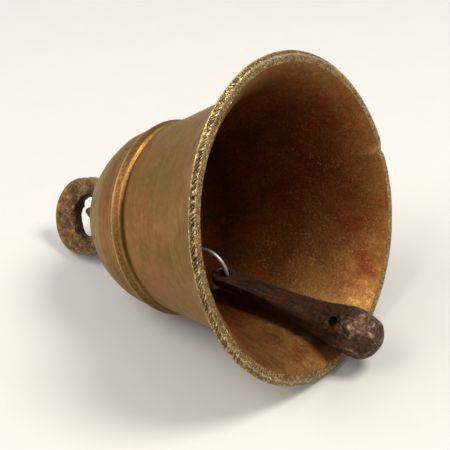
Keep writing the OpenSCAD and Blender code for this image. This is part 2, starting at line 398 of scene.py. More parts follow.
def makeInside():
    material, tree, shader, place = newMaterial("innerCasting", inside["metallic"])
    shader.inputs["Specular Tint"].default_value = inside["edgeTint"]
    about = bellPlace(tree, place)
    red = useGroup(tree, patinaPatches, Vector=place, Size=0.024, Spread=0.50, Softness=0.10)
    olive = useGroup(tree, patinaPatches, Vector=about, Size=0.017, Spread=0.60, Softness=0.08)
    ochre = useGroup(tree, patinaPatches, Vector=place, Size=0.0024, Spread=0.55, Softness=0.10)
    soot = useGroup(tree, patinaPatches, Vector=place, Size=0.0009, Spread=0.52, Softness=0.14)
    gloom = useGroup(tree, patinaPatches, Vector=about, Size=0.013, Spread=0.50, Softness=0.12)
    glintFlecks = useGroup(tree, patinaPatches, Vector=place, Size=0.0006, Spread=0.61, Softness=0.05)
    clusters = useGroup(tree, patinaPatches, Vector=place, Size=0.008, Spread=0.52, Softness=0.10)
    lines = useGroup(tree, fineLines, Vector=about, Squeeze=(0.5, 0.5, 1.0), Size=0.0012)
    glints = useGroup(tree, specks, Vector=place, Size=0.00065, Amount=0.30)
    tint = readMask(tree, "tint")
    glintPatch = readMask(tree, "wearAndSheen")
    litLowerWall = readMask(tree, "hollowAndShading")
    colour = layOver(tree, inside["base"], red, 0.35, inside["red"])
    colour = layOver(tree, colour, olive, 0.8, inside["olive"])
    colour = layOver(tree, colour, ochre, 0.16, inside["ochre"])
    colour = layOver(tree, colour, gloom, 0.35, inside["dark"])
    # Painted light: the lower wall, and the inside near the mouth, are laid lighter tan.
    colour = layOver(tree, colour, litLowerWall, 0.90, inside["tan"])
    colour = layOver(tree, colour, tint, 0.80, inside["red"])
    colour = layOver(tree, colour, soot, 0.34, inside["dark"])
    # Painted glints: fine gold specks, strongest on the right wall and in clusters.
    paintedGlints = mathNode(tree, "MAXIMUM", glintFlecks, mathNode(tree, "MULTIPLY", glints, 0.6))
    paintedGlints = mathNode(tree, "MULTIPLY", paintedGlints, mathNode(tree, "ADD", glintPatch, 0.30), clamp=True)
    paintedGlints = mathNode(tree, "MULTIPLY", paintedGlints, mathNode(tree, "ADD", clusters, 0.25), clamp=True)
    colour = layOver(tree, colour, paintedGlints, 0.6, inside["gold"])
    feed(tree, shader, colour, rangeNode(tree, ochre, 0.0, 1.0, 0.62, 0.46))
    pits = mathNode(tree, "MULTIPLY", soot, -0.6)
    height = mathNode(tree, "ADD", pits, mathNode(tree, "MULTIPLY", lines, 0.8))
    addBump(tree, shader, mathNode(tree, "ADD", height, glintFlecks), 0.40, 0.00020)
    return material


loopFinish = {
    "base": (0.150, 0.078, 0.026, 1), "rust": (0.300, 0.125, 0.036, 1), "grey": (0.200, 0.175, 0.095, 1),
    "dark": (0.016, 0.007, 0.003, 1), "worn": (0.225, 0.125, 0.046, 1), "metallic": 0.70,
}


def makeLoopFinish():
    material, tree, shader, place = newMaterial("pittedBronze", loopFinish["metallic"])
    rust = useGroup(tree, patinaPatches, Vector=place, Size=0.0090, Spread=0.52, Softness=0.08)
    grey = useGroup(tree, patinaPatches, Vector=place, Size=0.0045, Spread=0.61, Softness=0.05)
    fine = useGroup(tree, patinaPatches, Vector=place, Size=0.0014, Spread=0.52, Softness=0.12)
    grit = useGroup(tree, specks, Vector=place, Size=0.0009, Amount=0.30)
    edge = readMask(tree, "wearAndSheen")
    hollowAndShading = readMask(tree, "hollowAndShading")
    tint = readMask(tree, "tint")
    colour = layOver(tree, loopFinish["base"], rust, 0.8, loopFinish["rust"])
    colour = layOver(tree, colour, grey, 0.2, loopFinish["grey"])
    # Grey on the ridges, more on the upper half: partly grey patina, partly painted highlight.
    colour = layOver(tree, colour, tint, 0.50, loopFinish["grey"])
    colour = layOver(tree, colour, fine, 0.35, loopFinish["dark"])
    colour = layOver(tree, colour, edge, 0.92, loopFinish["worn"])
    colour = layOver(tree, colour, grit, 0.25, loopFinish["worn"])
    # Dark in pits, with painted shade in the eye's hole and round the eye.
    colour = layOver(tree, colour, hollowAndShading, 0.82, loopFinish["dark"])
    roughness = rangeNode(tree, fine, 0.0, 1.0, 0.50, 0.72)
    feed(tree, shader, colour, mathNode(tree, "SUBTRACT", roughness, mathNode(tree, "MULTIPLY", edge, 0.12)))
    pits = mathNode(tree, "MULTIPLY", fine, -1.0)
    addBump(tree, shader, mathNode(tree, "SUBTRACT", pits, grit), 0.6, 0.0003)
    return material


iron = {
    "base": (0.062, 0.028, 0.014, 1), "rust": (0.120, 0.040, 0.016, 1), "plum": (0.064, 0.036, 0.032, 1),
    "dark": (0.008, 0.004, 0.002, 1), "worn": (0.320, 0.215, 0.130, 1), "metallic": 0.75,
}


def makeIron(name, rustiness):
    material, tree, shader, place = newMaterial(name, iron["metallic"])
    rust = useGroup(tree, patinaPatches, Vector=place, Size=0.011, Spread=0.62 - rustiness, Softness=0.10)
    plum = useGroup(tree, patinaPatches, Vector=place, Size=0.007, Spread=0.57, Softness=0.08)
    grain = useGroup(tree, fineLines, Vector=place, Squeeze=(0.14, 1.0, 1.0), Size=0.0011)
    fine = useGroup(tree, patinaPatches, Vector=place, Size=0.0010, Spread=0.52, Softness=0.12)
    edge = readMask(tree, "wearAndSheen")
    hollowAndShading = readMask(tree, "hollowAndShading")
    colour = mixColour(tree, rust, iron["base"], iron["rust"])
    colour = layOver(tree, colour, plum, 0.7, iron["plum"])
    colour = mixColour(tree, rangeNode(tree, grain, 0.52, 0.34, 0.0, 0.6), colour, iron["dark"])
    colour = mixColour(tree, rangeNode(tree, grain, 0.60, 0.78, 0.0, 0.5), colour, iron["worn"])
    # Worn edges, and on the clapper a painted highlight along its lower corner near the eye.
    colour = layOver(tree, colour, edge, 0.85, iron["worn"])
    colour = mixColour(tree, hollowAndShading, colour, iron["dark"])
    feed(tree, shader, colour, rangeNode(tree, fine, 0.0, 1.0, 0.46, 0.66))
    height = mathNode(tree, "SUBTRACT", grain, mathNode(tree, "MULTIPLY", fine, 0.5))
    addBump(tree, shader, height, 0.35, 0.00022)
    return material


wire = {
    "base": (0.34, 0.33, 0.325, 1), "dull": (0.20, 0.185, 0.175, 1), "pale": (0.62, 0.61, 0.60, 1),
    "metallic": 0.85,
}


def makeWire():
    material, tree, shader, place = newMaterial("greyWire", wire["metallic"])
    dull = useGroup(tree, patinaPatches, Vector=place, Size=0.0025, Spread=0.54, Softness=0.10)
    scuffs = useGroup(tree, specks, Vector=place, Size=0.0005, Amount=0.22)
    colour = layOver(tree, wire["base"], dull, 0.7, wire["dull"])
    colour = layOver(tree, colour, scuffs, 0.6, wire["pale"])
    feed(tree, shader, colour, rangeNode(tree, dull, 0.0, 1.0, 0.42, 0.55))
    addBump(tree, shader, mathNode(tree, "SUBTRACT", dull, scuffs), 0.3, 0.0001)
    return material


bronzeMaterial = makeOutside()
lipMaterial = makeLip()
insideMaterial = makeInside()
loopMaterial = makeLoopFinish()
clapperIron = makeIron("forgedIron", 0.08)
stapleIron = makeIron("stapleIron", -0.04)
wireMaterial = makeWire()
print("materials ready")


# The bell. Each row of its profile is (radius, back, part), from the shank's hole outside,
# over the lip, and back to the hole inside.
def sideRadius(back):
    flare = bell["mouthRadius"] - bell["waistRadius"] - bell["taper"] * bell["waistBack"]
    cone = bell["waistRadius"] + bell["taper"] * (bell["waistBack"] - back)
    return cone + flare * math.exp(-back / bell["flareLength"])


def innerRadius(back):
    inner = bell["waistRadius"] - bell["wall"]
    edge = math.exp(bell["bevel"] / bell["flareLength"])
    flare = (bell["lipInner"] - inner - bell["taper"] * (bell["waistBack"] + bell["bevel"])) / edge
    return inner + bell["taper"] * (bell["waistBack"] - back) + flare * math.exp(-back / bell["flareLength"])


def capPoint(u, radius, crown):
    p = bell["capPower"]
    return radius * max(0.0, 1 - u ** p) ** (1 / p), bell["capBack"] + (crown - bell["capBack"]) * u


def bellProfile():
    rows = []
    hole = bell["shankHole"]
    count = bell["rows"]
    for turn in np.linspace(0, math.pi / 2, count["cap"]):
        u = math.cos(turn) ** 0.8
        r, s = capPoint(u, bell["capRadius"], bell["crownBack"])
        rows.append((max(r, hole), s, "cap"))
    w = bell["waistRadius"]
    band = [(back, w + step) for back, step in bandShape] + [(8.4, bell["capRadius"] + 0.12)]
    places = np.linspace(8.3, 0.1, count["band"])
    for back, radius in zip(places, through(band, places)):
        rows.append((radius, bell["waistBack"] + back, "band"))
    for back in bell["waistBack"] * np.linspace(1, 0.003, count["side"]) ** 1.5:
        rows.append((sideRadius(back), back, "side"))
    for t in np.linspace(0, 1, count["bevel"]):
        rows.append((bell["mouthRadius"] - bell["bevel"] * t, -bell["bevel"] * t, "bevel"))
    flatOuter = bell["mouthRadius"] - bell["bevel"]
    for t in np.linspace(0.06, 1, count["flat"]):
        rows.append((flatOuter - (flatOuter - bell["lipInner"]) * t, -bell["bevel"], "flat"))
    innerLength = bell["waistBack"] + bell["bevel"]
    for back in -bell["bevel"] + innerLength * np.linspace(0.004, 1, count["inner"]) ** 1.5:
        rows.append((innerRadius(back), back, "inner"))
    for i in range(count["innerCap"]):
        u = math.sin(math.pi / 2 * (i + 0.5) / count["innerCap"]) ** 1.2
        r, s = capPoint(u, bell["capRadius"] - bell["capWall"], bell["crownBack"] - bell["crownThick"])
        rows.append((max(r, hole), s, "innerCap"))
    return rows


def markField(angles, across, seed=4):  # depth of the filing marks at one place across the bevel
    rng = random.Random(seed)
    count = int(2 * math.pi * bell["mouthRadius"] / lipMarks["pitch"])
    step = 2 * math.pi / count
    centres, depths, widths = [], [], []
    for i in range(count):
        at = -math.pi + (i + rng.uniform(-0.3, 0.3)) * step
        slant = lipMarks["slant"] * rng.uniform(0.6, 1.3) / bell["mouthRadius"]
        centres.append(at + slant * (across - 0.5) * 2)
        away = abs(math.degrees(at) - lipMarks["strongAngle"]) / lipMarks["strongSpread"]
        depths.append(lipMarks["depth"] * rng.uniform(0.35, 1.1) * (0.22 + 0.9 * math.exp(-away * away)))
        widths.append(lipMarks["halfWidth"] * rng.uniform(0.6, 1.25))
    order = np.argsort(centres)
    centres = np.array(centres)[order]
    depths = np.array(depths)[order]
    widths = np.array(widths)[order]
    best = np.zeros(len(angles))
    for shift in (-1, 0, 1):
        k = (np.searchsorted(centres, angles) + shift) % count
        gap = np.abs((angles - centres[k] + math.pi) % (2 * math.pi) - math.pi) * bell["mouthRadius"]
        best = np.maximum(best, depths[k] * np.clip(1 - (gap / widths[k]) ** 2, 0, 1))
    return best


def rimShift(angles):  # the worn rim: a slow wander, a ripple and the nick
    wander = np.array([noise.noise(Vector((2.2 * math.cos(a), 2.2 * math.sin(a), 3.1))) for a in angles])
    ripple = np.array([noise.noise(Vector((11 * math.cos(a), 11 * math.sin(a), 7.7))) for a in angles])
    rim = -bell["rimWander"] * (0.55 + 0.5 * wander + 0.35 * ripple)
    off = np.radians(angleGap(angles, bell["nickAngle"])) * bell["mouthRadius"]
    nick = -bell["nickDepth"] * hump(off, 0, bell["nickWidth"]) - 0.5 * hump(off, 4, 7)
    return np.minimum(rim + nick, -0.02)


def waves(place, r):  # slow waves and small dents, none at the shank's hole
    push = bell["wave"] * (rough(place, 26, 1.0, 2) - 0.8) * 0.6 + bell["dent"] * rough(place, 5, 3.0, 2)
    return push * float(smoothStep(r, 4, 14))


# Each mark function gives how far one row of the bell moves out of the metal, and its masks.
def markCap(place, angles, r, s):
    line = hump(s, *bell["capLine"]) - 0.9 * hump(s, *bell["capGroove"])
    # The whole cap is darkened a little with painted shade, to hold down the fill light falling on it.
    return waves(place, r) + 0.16 * line, {"wearAndSheen": 0.35 * max(0, line), "hollowAndShading": 0.16}


def markBand(place, angles, r, s):
    back = s - bell["waistBack"]
    crest, foot, groove, under = (hump(back, *bandMarks[k]) for k in ("crest", "foot", "groove", "under"))
    strip = hump(back, *bandMarks["strip"], power=4)
    chatter = rough(place, 1.1, 5.0, 3)
    push = waves(place, r) + 0.03 * chatter - 0.10 * groove
    # A bright line on the crest and on the foot: part edge wear, part painted highlight.
    return push, {"wearAndSheen": unit(crest * (0.75 + 0.7 * chatter) + foot * (0.15 + 0.5 * chatter)),
                  # Painted shade in the groove and in the line under the crest.
                  "hollowAndShading": unit(groove * (0.95 + 0.4 * chatter) + 0.35 * under),
                  # The strip between groove and crest is darkened: partly its browner tone, partly painted
                  # shade over the key light's reflection.
                  "band": unit(strip * (0.8 + 0.9 * chatter))}


def markSide(place, angles, r, s):
    worn = math.exp(-s / 1.3) * (0.6 + 0.8 * rough(place, 2.0, 2.0, 2))
    lilac = hump(s, *bell["lilacBand"]) * (0.75 + 1.2 * rough(place, 14, 6.0, 3))
    # Painted shade in the corner where the side meets the band.
    corner = 0.9 * hump(s, bell["waistBack"], 0.5)
    return waves(place, r), {"wearAndSheen": unit(worn), "hollowAndShading": corner, "tint": unit(lilac)}


def ridgeWearAndSheen(angles):  # how bright the lip's edges are round the rim: edge wear all round, with a painted highlight stronger on the upper side
    return 0.35 + 0.65 * hump(angleGap(angles, lipMarks["ridgeAngle"]), 0, lipMarks["ridgeSpread"])


def markBevel(place, angles, r, s):
    across = -s / bell["bevel"]
    marks = markField(angles, across)
    grit = rough(place, 0.9, 8.0, 2)
    begin = float(smoothStep(across, 0.08, 0.45))
    worn = unit(3.6 * (across - 0.75) + 0.7 * grit) * (marks < 0.1)
    worn = np.maximum(worn, float(across < 0.12) * (0.5 + 0.5 * grit))
    deep = np.clip(marks / lipMarks["depth"] * 1.1, 0, 0.8) * begin + 0.4 * smoothStep(-grit, 0.2, 0.6)
    return (-marks + 0.06 * grit) * begin, {"wearAndSheen": unit(worn) * ridgeWearAndSheen(angles), "hollowAndShading": deep}


def markFlat(place, angles, r, s):
    flatOuter = bell["mouthRadius"] - bell["bevel"]
    across = (flatOuter - r) / (flatOuter - bell["lipInner"])
    carry = markField(angles, 1.0) * max(0.0, 1 - across * 2.6)
    turn = np.degrees(angles)
    low = smoothStep(turn, -150, -95) * (1 - smoothStep(turn, -80, -40))
    low = np.maximum(low, smoothStep(-turn, 120, 150))
    grit = rough(place, 0.8, 9.0, 2)
    push = -0.8 * carry + (0.03 + 0.03 * low) * grit - 0.06
    outerEdge = (1 - across * 3.5) * (0.7 + 0.6 * grit) * ridgeWearAndSheen(angles)
    innerEdge = 0.7 * (across > 0.93) * (0.6 + grit)
    deep = carry * 1.6 + 0.35 * low * smoothStep(-grit, 0.1, 0.5)
    return push, {"wearAndSheen": unit(outerEdge + innerEdge), "hollowAndShading": unit(deep)}


def markInnerCap(place, angles, r, s):
    push = bell["innerRough"] * (rough(place, 3.0, 11.0, 3) - 0.2) + 0.12 * rough(place, 18, 12.0, 2)
    push *= float(smoothStep(r, 4, 12)) * float(smoothStep(s, -1.5, 0.5))
    return np.minimum(push, 0.16), {}


def markInner(place, angles, r, s):
    push = markInnerCap(place, angles, r, s)[0]
    stainAndSheen = np.zeros(len(angles))
    for at, wide, back, long in innerStains["red"]:
        stainAndSheen = np.maximum(stainAndSheen, hump(angleGap(angles, at), 0, wide) * hump(s, back, long))
    # The painted glints are strongest in the gold patch on the right wall.
    at, wide, back, long = innerStains["gold"]
    gold = 0.8 * hump(angleGap(angles, at), 0, wide) * hump(s, back, long)
    # Painted light on the lower wall, and near the mouth all round.
    at, wide, back, long = innerStains["litLowerWall"]
    litLowerWall = hump(angleGap(angles, at), 0, wide) * hump(s, back, long, power=4)
    litLowerWall = np.maximum(litLowerWall, 0.38 * math.exp(-s / 6)) * (0.9 + 0.4 * rough(place, 9, 15.0, 2))
    stainAndSheen = unit(stainAndSheen * (0.75 + 1.3 * rough(place, 7.0, 14.0, 3)))
    return push, {"tint": stainAndSheen, "wearAndSheen": gold, "hollowAndShading": litLowerWall}


rowKinds = {  # how each part of the profile is marked, and its material
    "cap": (markCap, 0), "band": (markBand, 0), "side": (markSide, 0), "bevel": (markBevel, 1),
    "flat": (markFlat, 1), "inner": (markInner, 2), "innerCap": (markInnerCap, 2),
}


def makeBell():
    profile = bellProfile()
    radii = np.array([p[0] for p in profile])
    backs = np.array([p[1] for p in profile])
    parts = [p[2] for p in profile]
    columns = bell["columns"]
    angles = np.linspace(-math.pi, math.pi, columns, endpoint=False)
    x, y = np.cos(angles), np.sin(angles)
    du = np.gradient(radii)
    dv = np.gradient(backs)
    length = np.hypot(du, dv) + 1e-9
    outR, outB = -dv / length, du / length  # points out of the metal on every row
    rim = rimShift(angles)
    points = []
    masks = {"wearAndSheen": [], "hollowAndShading": [], "tint": [], "band": []}
    for r, s, part, nr, nb in zip(radii, backs, parts, outR, outB):
        place = np.stack([r * x, r * y, np.full(columns, s)], 1)
        push, found = rowKinds[part][0](place, angles, r, s)
        for key, rows in masks.items():
            rows.append(np.zeros(columns) + found.get(key, 0))
        nearMouth = math.exp(-max(0.0, s) / 3.5) if s < 20 else 0.0
        out = nr * push + rim * nearMouth
        points.append(place + np.stack([out * x, out * y, nb * push], 1))
    faces = gridFaces(len(profile), columns, closeRows=True)
    faceSlots = np.repeat([rowKinds[part][1] for part in parts], columns)
    return makePiece("bellBody", toRow(np.concatenate(points)), faces,
                     [bronzeMaterial, lipMaterial, insideMaterial], "bell", "bell_body",
                     faceSlots, {key: np.concatenate(rows) for key, rows in masks.items()})


makeBell()
print("bell ready")


# The crown loop: a band of metal round the eye, whose outer edge is the round end and the foot.
loop = {
    "endBack": 114.4, "endRadius": 16.45, "eyeBack": 110, "eyeRadius": 7.7, "halfThick": 4.15,
    "turn": 29, "footHalf": 14.6, "footEnd": 88, "around": 300, "across": 110,
}


def makeLoop():
    offset = loop["endBack"] - loop["eyeBack"]
    turn = math.radians(loop["turn"])
    points = []
    for i in range(loop["around"]):
        a = 2 * math.pi * i / loop["around"]
        wide, back = math.sin(a), math.cos(a)  # back = 1 points to the loop's outer end
        reach = offset * back + math.sqrt(loop["endRadius"] ** 2 - (offset * wide) ** 2)
        if back < 0:
            side = loop["footHalf"] / max(abs(wide), 1e-3)
            base = (loop["eyeBack"] - loop["footEnd"]) / max(-back, 1e-3)
            foot = (side ** -6 + base ** -6) ** (-1 / 6)
            reach = (reach ** 8 + foot ** 8) ** (1 / 8) if foot > reach * 0.6 else reach
        inner = loop["eyeRadius"] + 0.25 * noise.noise(Vector((wide * 2, back * 2, 1.5)))
        middle, half = (inner + reach) / 2, (reach - inner) / 2
        for j in range(loop["across"]):
            c = 2 * math.pi * j / loop["across"]
            flat = abs(math.cos(c)) ** 0.58 * math.copysign(1, math.cos(c))
            lift = abs(math.sin(c)) ** 0.58 * math.copysign(1, math.sin(c))
            out = middle + half * flat
            thick = loop["halfThick"] * lift * (1.0 - 0.10 * max(0.0, back))
            points.append((out * wide, thick, loop["eyeBack"] + out * back,
                           math.cos(c), math.sin(c), wide, back))
    data = np.array(points)
    place, fromEye, lift, wide, back = data[:, :3], data[:, 3], data[:, 4], data[:, 5], data[:, 6]
    face = 1 - smoothStep(fromEye, 0.60, 0.76)
    nearEye = 1 - smoothStep(fromEye, -0.75, 0.45)
    lumps = rough(place, 3.6, 21.0, 3)
    grains = rough(place, 1.2, 22.0, 3)
    pits = 1 - smoothStep(cells(place, 2.2, 5.0), 0.05, 0.45)
    rare = smoothStep(rough(place, 6.0, 23.0, 2), 0.0, 0.35)
    dips = pits * rare * face
    push = (0.06 * (lumps - 0.5) + face * (0.80 * (lumps - 0.5) + 0.30 * grains)
            - 0.50 * dips - 0.60 * nearEye * face)
    push = np.minimum(push, 0.06)
    place[:, 0] += fromEye * push * wide
    place[:, 2] += fromEye * push * back
    place[:, 1] += lift * push
    rotated = np.stack([place[:, 0] * math.cos(turn) - place[:, 1] * math.sin(turn),
                        place[:, 0] * math.sin(turn) + place[:, 1] * math.cos(turn), place[:, 2]], 1)
    border = hump(fromEye, 0.68, 0.06)
    wearAndSheen = np.clip((1 - face) * (1.0 + 0.2 * grains) + border * (0.3 + 0.9 * grains), 0, 1)
    # Dark pits and low spots on the face, and painted shade inside the eye's hole and round the eye.
    inHole = 1 - smoothStep(fromEye, -0.95, -0.45)
    low = smoothStep(-lumps - 0.9 * grains, -0.10, 0.90)
    hollowAndShading = np.clip(0.6 * dips + 0.95 * inHole + face * low * 0.40
                     + 0.55 * nearEye * face * smoothStep(-lumps, -0.35, 0.1), 0, 1)
    # Grey on the face's ridges, more on the upper half: partly grey patina, partly painted highlight.
    upper = smoothStep(wide, -0.25, 0.25)
    stainAndSheen = np.clip(face * smoothStep(lumps + 0.9 * grains, 0.15, 0.75) * (0.25 + upper), 0, 1)
    faces = gridFaces(loop["around"], loop["across"], closeRows=True)
    return makePiece("crownLoop", toRow(rotated), faces, [loopMaterial], "bell", "crown_loop",
                     None, {"wearAndSheen": wearAndSheen, "hollowAndShading": hollowAndShading, "tint": stainAndSheen})


makeLoop()
print("loop ready")


# A bar swept along a path, with closed ends unless it runs into itself.
def sweep(path, radii, sides, closed=False):
    path = np.asarray(path, float)
    count = len(path)
    if closed:
        tangent = np.roll(path, -1, 0) - np.roll(path, 1, 0)
    else:
        tangent = np.gradient(path, axis=0)
    tangent /= np.linalg.norm(tangent, axis=1)[:, None]
    centre = path.mean(0)
    plane = np.linalg.svd(path - centre)[2][2]
    points = []
    for i in range(count):
        t = tangent[i]
        n = plane - (plane @ t) * t
        n /= np.linalg.norm(n)
        m = np.cross(t, n)
        for j in range(sides):
            c = 2 * math.pi * j / sides
            points.append(path[i] + radii[i] * (math.cos(c) * m + math.sin(c) * n))
    faces = [list(f) for f in gridFaces(count, sides, closeRows=closed)]
    if not closed:
        faces.append(list(range(sides)))
        faces.append([(count - 1) * sides + k for k in range(sides)][::-1])
    return np.array(points), faces


def barMasks(points, size, shift):
    grains = rough(points, size, shift, 2)
    return {"wearAndSheen": np.clip(grains - 0.15, 0, 1), "hollowAndShading": np.clip(-grains - 0.25, 0, 1)}


joints = {j["name"]: j for j in frame["joints"]}
linkTop = fromRow(joints["hanger_swing"]["pos_m"])
linkEnd = fromRow(joints["ring_swing"]["pos_m"])
ringCentre = fromRow(joints["clapper_swing"]["pos_m"])

staple = {
    "eyeBack": 78, "eyeRadius": 4.7, "bar": 1.62, "shank": 2.15,
    "bore": 99.6, "tailTip": 113.4, "pointLength": 3.6, "tailLean": 2.4,
}


def makeStaple():
    ring = [(staple["eyeRadius"] * math.sin(a), 0, staple["eyeBack"] + staple["eyeRadius"] * math.cos(a))
            for a in np.linspace(0, 2 * math.pi, 72, endpoint=False)]
    eyePoints, eyeFaces = sweep(ring, [staple["bar"]] * 72, 28, closed=True)
    shankStart = staple["eyeBack"] + staple["eyeRadius"] - 0.6
    backs = np.concatenate([np.linspace(shankStart, staple["bore"] - 0.1, 24),
                            np.linspace(staple["bore"] + 0.4, staple["tailTip"], 40)])
    lean = staple["tailLean"] * smoothStep(backs, staple["bore"] + 0.4, staple["tailTip"] + 2)
    path = np.stack([lean, 0.35 * lean, backs], 1)
    fine = np.clip((staple["tailTip"] + 0.05 - backs) / staple["pointLength"], 0, 1) ** 0.62
    swell = 1 + 0.14 * smoothStep(backs, 101, 106)
    radii = staple["shank"] * np.where(backs > staple["bore"], swell * np.maximum(fine, 0.13), 1.0)
    tailPoints, tailFaces = sweep(path, radii, 32)
    bump = 0.10 * rough(tailPoints, 1.4, 31.0, 2) * smoothStep(tailPoints[:, 2], staple["bore"], 101)
    axis = np.repeat(path, 32, axis=0)
    away = tailPoints - axis
    away /= np.linalg.norm(away, axis=1)[:, None]
    tailPoints = tailPoints + away * bump[:, None]
    points = np.concatenate([eyePoints, tailPoints])
    faces = eyeFaces + [[k + len(eyePoints) for k in f] for f in tailFaces]
    return makePiece("clapperStaple", toRow(points), faces, [stapleIron], "bell",
                     "clapper_staple", None, barMasks(points, 1.8, 32.0))


collar = {"back": 90.72, "thick": 2.0, "outer": 6.95, "inner": 2.3, "edge": 0.35}


def makeCollar():
    outer, edge, thick = collar["outer"], collar["edge"], collar["thick"]
    section = [(collar["inner"], 0), (outer - edge, 0), (outer - 0.1, 0.1), (outer, edge),
               (outer, thick - edge), (outer - 0.1, thick - 0.1), (outer - edge, thick),
               (collar["inner"], thick)]
    points = []
    sides = 96
    for r, h in section:
        for k in range(sides):
            a = 2 * math.pi * k / sides
            uneven = 0.12 * abs(noise.noise(Vector((math.cos(a) * 2, math.sin(a) * 2, h)))) if r > 4 else 0
            points.append(((r - uneven) * math.cos(a), (r - uneven) * math.sin(a), collar["back"] + h))
    points = np.array(points)
    faces = gridFaces(len(section), sides, closeRows=True)
    return makePiece("stapleCollar", toRow(points), faces, [stapleIron], "bell",
                     "staple_collar", None, barMasks(points, 1.6, 33.0))


link = {"bar": 1.18, "halfWidth": 4.0, "steps": 200}


def makeLink():
    away = linkEnd - linkTop
    length = np.linalg.norm(away)
    away /= length
    side = np.array((0.0, 1.0, 0.0))
    w = link["halfWidth"]
    straight = length - 2 * w
    total = 2 * straight + 2 * math.pi * w
    path = []
    for i in range(link["steps"]):
        d = total * i / link["steps"]
        if d < straight:
            u, y = w + d, w
        elif d < straight + math.pi * w:
            a = (d - straight) / w
            u, y = length - w + w * math.sin(a), w * math.cos(a)
        elif d < 2 * straight + math.pi * w:
            u, y = length - w - (d - straight - math.pi * w), -w
        else:
            a = (d - 2 * straight - math.pi * w) / w
            u, y = w - w * math.sin(a), -w * math.cos(a)
        path.append(linkTop + away * u + side * y)
    radii = [link["bar"] * (1 - 0.05 * abs(noise.noise(Vector((0.1 * i, 0, 4)))))
             for i in range(link["steps"])]
    points, faces = sweep(path, radii, 26, closed=True)
    return makePiece("hangerLink", toRow(points), faces, [stapleIron], "link", "hanger_link",
                     None, barMasks(points, 1.5, 34.0))


ringWire = {"radius": 8.9, "wire": 0.915, "seamAngle": 168, "seamGap": 1.6}


def makeRing():
    first = math.radians(ringWire["seamAngle"] + ringWire["seamGap"])
    last = math.radians(ringWire["seamAngle"] + 360 - ringWire["seamGap"])
    path, radii = [], []
    steps = 190
    for i in range(steps):
        a = first + (last - first) * i / (steps - 1)
        path.append(ringCentre + ringWire["radius"] * np.array((math.sin(a), 0, -math.cos(a))))
        end = min(i, steps - 1 - i)
        radii.append(ringWire["wire"] * (0.82 if end == 0 else 0.95 if end == 1 else 1.0)
                     * (1 - 0.012 * abs(noise.noise(Vector((0.15 * i, 1, 0))))))
    points, faces = sweep(path, radii, 32)
    return makePiece("clapperRing", toRow(points), faces, [wireMaterial], "ring",
                     "clapper_ring")


makeStaple()
makeCollar()
makeLink()
makeRing()
print("staple, link and ring ready")


# The clapper: stations run from the end behind its eye to the tip of its knob. Widths are
# across the bell, thicknesses are square to that, and power tells how square the section is.
clapper = {
    "ride": 25.3, "lean": 20.4, "eyeHole": 2.8, "length": 59.2, "eyeEnd": -4.75, "tip": 70.3,
    "width": [(-5, 4.7), (0, 4.7), (8, 4.75), (20, 5.25), (32, 6.15), (44, 7.5), (52, 8.6),
              (59, 9.05), (71, 8.7)],
    "thick": [(-5, 2.25), (0, 2.3), (5, 2.4), (20, 3.05), (30, 3.4), (42, 4.7), (50, 6.6),
              (56, 8.6), (60, 9.0), (71, 8.6)],
    "power": [(-5, 4.5), (10, 4.2), (30, 3.0), (50, 2.4), (71, 2.2)],
    "rings": 420, "sides": 168, "cordHole": 1.93, "cordBack": 6.4, "cordUp": 48,
    "noseStart": 61.0, "facetCentre": 59.5, "facetSoft": 0.14, "facetDepth": 0.80,
    # each hammered facet: the way it faces (along, side, over) and its distance from the knob's centre
    "facets": [((0.36, -0.34, 0.87), 8.40), ((0.05, -0.88, -0.47), 8.55), ((0.50, -0.84, 0.22), 8.95),
               ((0.86, -0.05, 0.51), 9.90), ((0.25, 0.62, 0.74), 8.55), ((0.20, 0.97, -0.14), 8.60),
               ((0.15, 0.30, -0.94), 8.60)],
}


def clapperFrame():
    lean = math.radians(clapper["lean"])
    ride = math.radians(clapper["ride"])
    along = np.array((-math.sin(lean), 0, -math.cos(lean)))
    over = np.array((math.cos(lean), 0, -math.sin(lean)))
    slack = clapper["eyeHole"] - ringWire["wire"] - 0.01 - 0.15
    crossing = ringCentre + ringWire["radius"] * np.array((-math.sin(ride), 0, -math.cos(ride)))
    return crossing - slack * along, along, over


def cutHole(piece, place, direction, radius, length):
    bpy.ops.mesh.primitive_cylinder_add(vertices=64, radius=radius * mm, depth=length * mm)
    cutter = bpy.context.active_object
    cutter.location = toRow([place])[0]
    aim = Vector(toRow([np.array(place) + direction])[0] - toRow([place])[0])
    cutter.rotation_mode = "QUATERNION"
    cutter.rotation_quaternion = aim.to_track_quat("Z", "Y")
    cut = piece.modifiers.new("hole", "BOOLEAN")
    cut.object = cutter
    cut.solver = "EXACT"
    bpy.context.view_layer.objects.active = piece
    bpy.ops.object.modifier_apply(modifier=cut.name)
    bpy.data.objects.remove(cutter)


